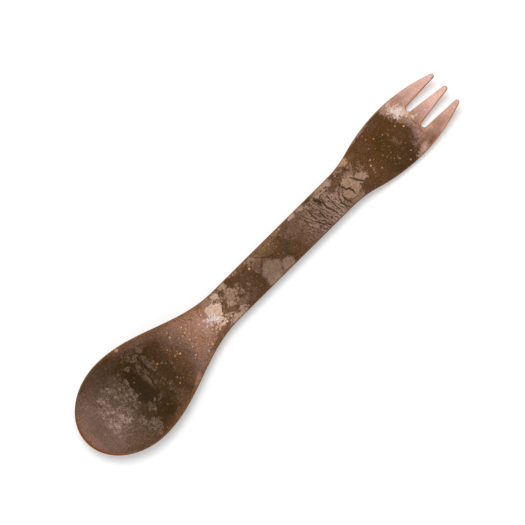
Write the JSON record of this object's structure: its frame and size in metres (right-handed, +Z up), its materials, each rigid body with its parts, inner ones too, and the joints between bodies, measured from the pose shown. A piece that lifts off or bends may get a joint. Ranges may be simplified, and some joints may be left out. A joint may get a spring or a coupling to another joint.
{
  "type": "spork",
  "caption": "Double-ended spork with a shallow spoon bowl, a straight flat handle and a short tined fork, moulded in one piece from mottled dark brown plant-fibre composite.",
  "frame": {"origin": "on the table under the middle of the length, centred across the width", "axes": "+X along the handle from the bowl towards the fork, +Y across it, +Z up from the table with the hollow side up"},
  "size_m": [0.19, 0.0374, 0.0087],
  "materials": {
    "composite": "satin moulded plant-fibre composite, dark olive brown with pinkish haze, pale flakes, fine dark cracks and tiny bright specks"
  },
  "bodies": {
    "root": {"spork": "composite"}
  },
  "joints": []
}
